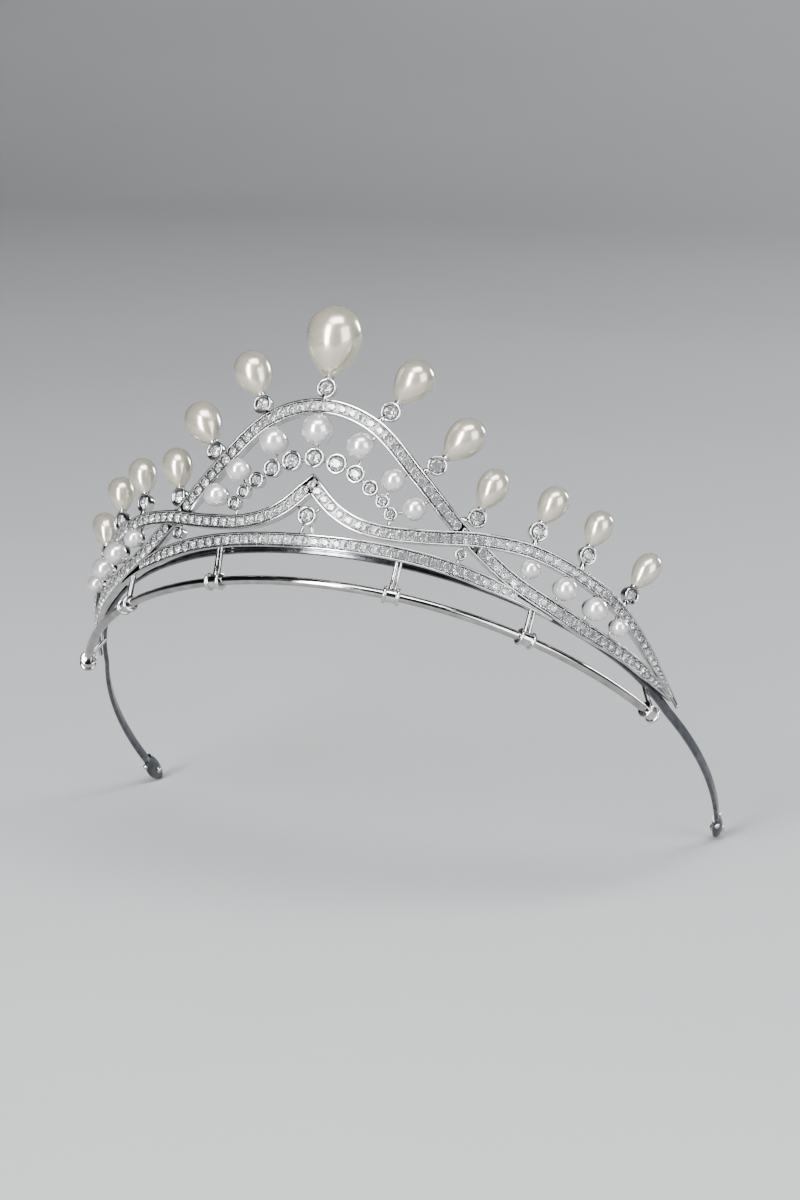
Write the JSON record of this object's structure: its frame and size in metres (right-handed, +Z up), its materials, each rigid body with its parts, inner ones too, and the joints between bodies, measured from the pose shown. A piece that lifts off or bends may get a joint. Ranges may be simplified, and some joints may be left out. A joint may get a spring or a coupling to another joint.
{
  "type": "tiara",
  "caption": "Curved tiara: an arch and a pointed ogee of pave stones topped by drop pearls, with round pearls inside, on a wire rail with two springy side arms.",
  "frame": {"origin": "centre of the front rail wire, halfway between the side arms, where the tiara rests on the hair", "axes": "+X to the viewer's right along the front, -Y out of the front, +Z up with the tiara tilted back as worn"},
  "size_m": [0.131, 0.0773, 0.1184],
  "materials": {
    "rhodium_plate": "polished rhodium plate on cast and drawn alloy",
    "crystal_pave": "clear brilliant-cut stones",
    "drop_nacre": "cream nacre, satin with soft highlights",
    "round_nacre": "white nacre with a faint rose tint"
  },
  "bodies": {
    "front": {"arc_collets": "rhodium_plate", "arch_band": "rhodium_plate", "arch_pave": "crystal_pave", "backing_strip": "rhodium_plate", "base_band": "rhodium_plate", "base_pave": "crystal_pave", "drop_pearl_centre": "drop_nacre", "drop_pearl_left_1": "drop_nacre", "drop_pearl_left_2": "drop_nacre", "drop_pearl_left_3": "drop_nacre", "drop_pearl_left_4": "drop_nacre", "drop_pearl_left_5": "drop_nacre", "drop_pearl_left_6": "drop_nacre", "drop_pearl_right_1": "drop_nacre", "drop_pearl_right_2": "drop_nacre", "drop_pearl_right_3": "drop_nacre", "drop_pearl_right_4": "drop_nacre", "drop_pearl_right_5": "drop_nacre", "drop_pearl_right_6": "drop_nacre", "left_leg_band": "rhodium_plate", "left_leg_pave": "crystal_pave", "left_side_collet": "rhodium_plate", "ogee_band": "rhodium_plate", "ogee_pave": "crystal_pave", "peak_collet": "rhodium_plate", "rail_collar_inner_left": "rhodium_plate", "rail_collar_inner_right": "rhodium_plate", "rail_collar_middle_left": "rhodium_plate", "rail_collar_middle_right": "rhodium_plate", "rail_collar_outer_left": "rhodium_plate", "rail_collar_outer_right": "rhodium_plate", "rail_post_inner_left": "rhodium_plate", "rail_post_inner_right": "rhodium_plate", "rail_post_middle_left": "rhodium_plate", "rail_post_middle_right": "rhodium_plate", "rail_post_outer_left": "rhodium_plate", "rail_post_outer_right": "rhodium_plate", "rail_wire": "rhodium_plate", "right_leg_band": "rhodium_plate", "right_leg_pave": "crystal_pave", "right_side_collet": "rhodium_plate", "round_pearl_centre": "round_nacre", "round_pearl_left_1": "round_nacre", "round_pearl_left_2": "round_nacre", "round_pearl_left_3": "round_nacre", "round_pearl_right_1": "round_nacre", "round_pearl_right_2": "round_nacre", "round_pearl_right_3": "round_nacre", "window_pearl_left_1": "round_nacre", "window_pearl_left_2": "round_nacre", "window_pearl_left_3": "round_nacre", "window_pearl_left_4": "round_nacre", "window_pearl_right_1": "round_nacre", "window_pearl_right_2": "round_nacre", "window_pearl_right_3": "round_nacre", "window_pearl_right_4": "round_nacre"},
    "left_side_arm": {"left_arm": "rhodium_plate", "left_end_cap": "rhodium_plate"},
    "right_side_arm": {"right_arm": "rhodium_plate", "right_end_cap": "rhodium_plate"}
  },
  "joints": [
    {"name": "left_arm_flex", "type": "hinge", "parent": "front", "child": "left_side_arm", "pos_m": [-0.06018, 0.04386, -0.03321], "axis": [0, 0.6756, 0.7373], "range_deg": [-3, 8], "stiffness_Nm_per_rad": 0.6},
    {"name": "right_arm_flex", "type": "hinge", "parent": "front", "child": "right_side_arm", "pos_m": [0.06018, 0.04386, -0.03321], "axis": [0, -0.6756, -0.7373], "range_deg": [-3, 8], "stiffness_Nm_per_rad": 0.6}
  ]
}
